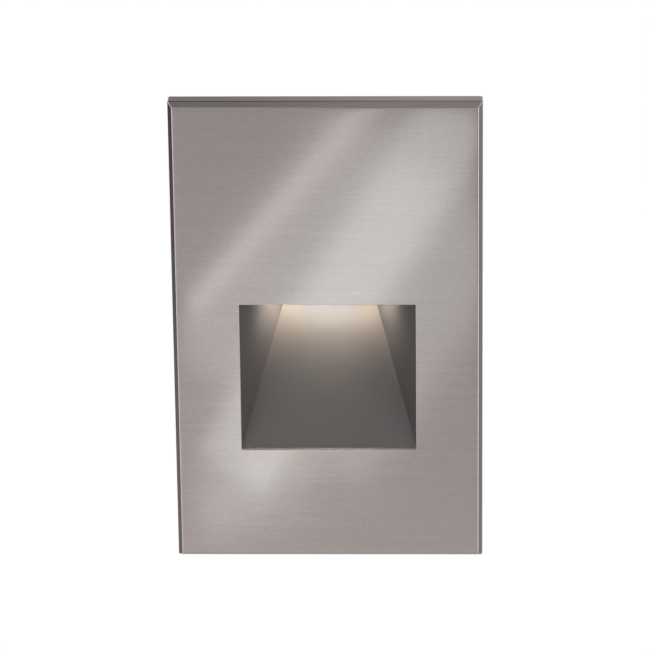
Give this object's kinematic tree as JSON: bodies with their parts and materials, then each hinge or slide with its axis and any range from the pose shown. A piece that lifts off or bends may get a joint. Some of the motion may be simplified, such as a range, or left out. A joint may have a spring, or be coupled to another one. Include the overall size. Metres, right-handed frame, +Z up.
{
  "type": "step light",
  "caption": "Recessed wall step light: brushed bevelled faceplate, sloping light well under a hidden downward lamp, driver housing for a single-gang box.",
  "frame": {"origin": "on the finished wall's plane, behind the faceplate's centre", "axes": "-Y out of the wall towards the viewer, +Y into the wall, +Z up, +X right as seen from the front"},
  "size_m": [0.0794, 0.0507, 0.127],
  "materials": {
    "brushed_plate": "brushed, satin",
    "stainless_screw": "smooth, satin",
    "zinc_steel": "bright zinc plate",
    "well_paint": "fine satin metallic grey paint",
    "housing_paint": "fine textured dark grey paint",
    "foam": "closed-cell foam, matt",
    "silicone": "silicone, matt",
    "black_rubber": "moulded, matt",
    "frosted_glass": "frosted",
    "spring_steel": "pressed, bright",
    "extruded_aluminium": "mill finish",
    "thermal_pad": "soft silicone sheet",
    "white_board": "white solder mask",
    "green_board": "green solder mask",
    "led_phosphor": "yellow phosphor",
    "connector": "moulded, matt",
    "insulator": "thin film, matt",
    "ferrite": "ground ferrite",
    "winding_tape": "polyester tape",
    "capacitor_sleeve": "shrunk sleeve",
    "film_box": "moulded box",
    "choke": "ferrite drum with varnished wire",
    "fuse_body": "moulded, matt",
    "varistor_coat": "dipped epoxy",
    "chip_black": "moulded, matt",
    "red_lead": "wire insulation",
    "black_lead": "wire insulation",
    "green_screw": "green passivated"
  },
  "bodies": {
    "base": {"mounting_bracket": "zinc_steel", "box_screws": "zinc_steel", "opening_seal": "foam", "light_well": "well_paint", "well_screws": "stainless_screw", "housing": "housing_paint", "back_cover": "housing_paint", "housing_seal": "silicone", "back_seal": "silicone", "housing_screws": "stainless_screw", "ground_screw": "green_screw", "lead_grommet": "black_rubber", "lens": "frosted_glass", "lens_seal": "silicone", "lens_retainer": "spring_steel", "retainer_screws": "stainless_screw", "heat_sink": "extruded_aluminium", "sink_screws": "stainless_screw", "gap_pad": "thermal_pad", "thermal_pad": "thermal_pad", "led_board": "white_board", "led_chips": "led_phosphor", "led_connector": "connector", "led_screws": "stainless_screw", "driver_board": "green_board", "board_screws": "stainless_screw", "insulator_sheet": "insulator", "transformer_core": "ferrite", "transformer_coil": "winding_tape", "input_capacitor": "capacitor_sleeve", "output_capacitor": "capacitor_sleeve", "film_capacitor": "film_box", "inductor": "choke", "fuse": "fuse_body", "varistor": "varistor_coat", "rectifier": "chip_black", "driver_chip": "chip_black", "output_header": "connector", "led_lead_positive": "red_lead", "led_lead_negative": "black_lead"},
    "cover": {"faceplate": "brushed_plate", "wall_gasket": "foam"},
    "left_screw": {"set_screw_left": "stainless_screw"},
    "right_screw": {"set_screw_right": "stainless_screw"}
  },
  "joints": [
    {"name": "faceplate_pull", "type": "slide", "parent": "base", "child": "cover", "axis": [0, -1, 0], "range_m": [0, 0.02]},
    {"name": "set_screw_left_travel", "type": "slide", "parent": "cover", "child": "left_screw", "axis": [0, 0, -1], "range_m": [0, 0.003]},
    {"name": "set_screw_right_travel", "type": "slide", "parent": "cover", "child": "right_screw", "axis": [0, 0, -1], "range_m": [0, 0.003]}
  ]
}
